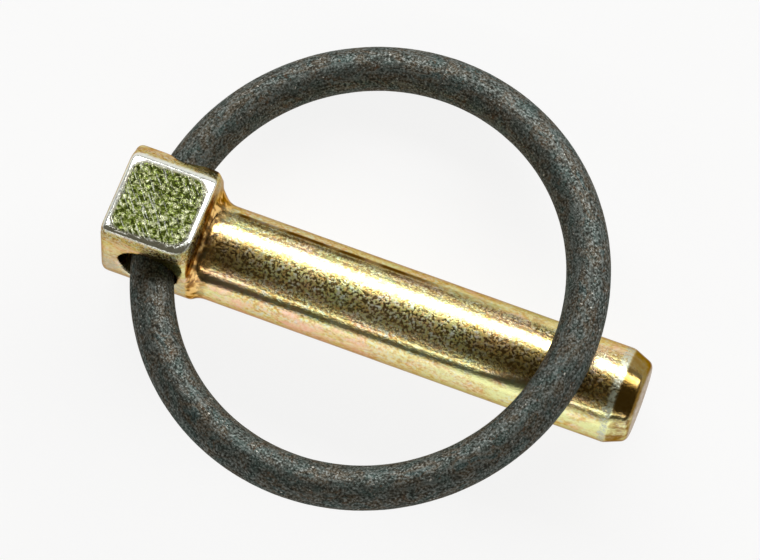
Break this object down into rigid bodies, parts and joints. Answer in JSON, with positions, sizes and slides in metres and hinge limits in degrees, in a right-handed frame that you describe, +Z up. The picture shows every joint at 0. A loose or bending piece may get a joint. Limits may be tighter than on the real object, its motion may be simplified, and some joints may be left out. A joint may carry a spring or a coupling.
{
  "type": "linch pin",
  "caption": "Linch pin: round shank with a tapered tip, square forged head and a spring ring that swings from the head and closes over the shank.",
  "frame": {"origin": "on the table that the part lies on, below the middle of its bounding box", "axes": "+X along the shank from the head to the tip, +Y across towards the side of the ring that touches the table, +Z up"},
  "size_m": [0.0532, 0.0436, 0.0187],
  "materials": {
    "pin": "yellow zinc plating, glossy and mottled",
    "ring": "black heat-treated spring wire, satin"
  },
  "bodies": {
    "pin": {"pin": "pin"},
    "ring": {"ring": "ring"}
  },
  "joints": [
    {"name": "ring_hinge", "type": "hinge", "parent": "pin", "child": "ring", "pos_m": [-0.0217, -0.0017, 0.00785], "axis": [0, -0.9426, 0.3338], "range_deg": [0, 340.5]}
  ]
}
